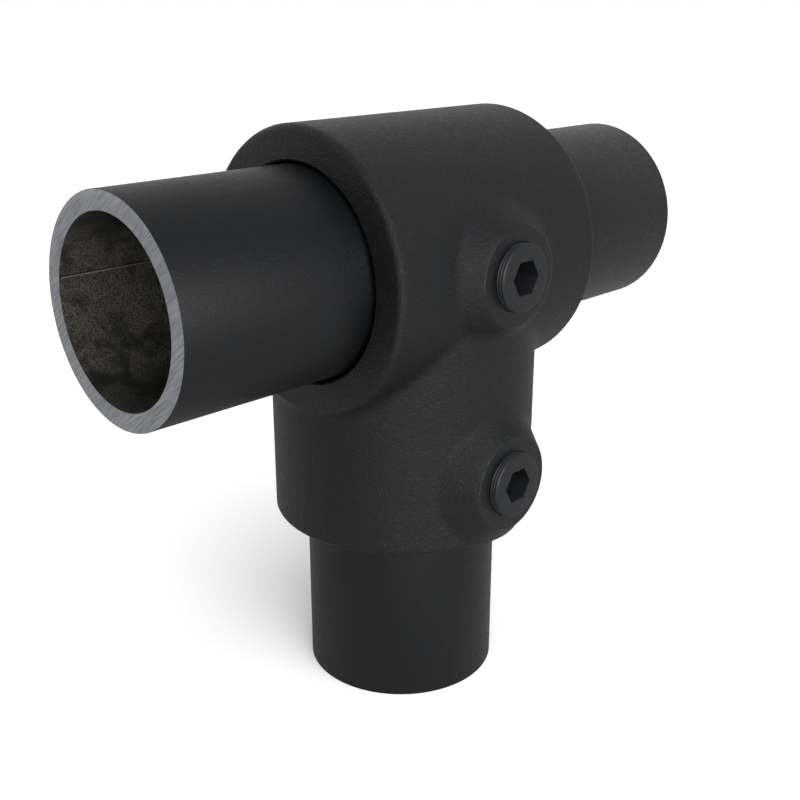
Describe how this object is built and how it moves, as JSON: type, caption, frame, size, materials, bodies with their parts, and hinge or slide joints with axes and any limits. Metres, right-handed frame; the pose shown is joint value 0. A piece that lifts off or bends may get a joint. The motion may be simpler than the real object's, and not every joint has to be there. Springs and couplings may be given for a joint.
{
  "type": "tube clamp tee fitting",
  "caption": "Cast tee fitting that clamps a branch tube square to a run tube with socket set screws in raised round bosses, shown with short black coated stub tubes seated in it.",
  "frame": {"origin": "the point where the axes of the two tubes cross", "axes": "+X along the run tube, +Z away from the branch tube, which hangs down -Z, and -Y towards the set screws"},
  "size_m": [0.1588, 0.0707, 0.1419],
  "materials": {
    "cast_coat": "satin",
    "tube_coat": "satin",
    "screw_coat": "satin"
  },
  "bodies": {
    "root": {"clamp_body": "cast_coat", "run_tube": "tube_coat", "branch_tube": "tube_coat", "run_set_screw": "screw_coat", "branch_set_screw": "screw_coat"}
  },
  "joints": []
}
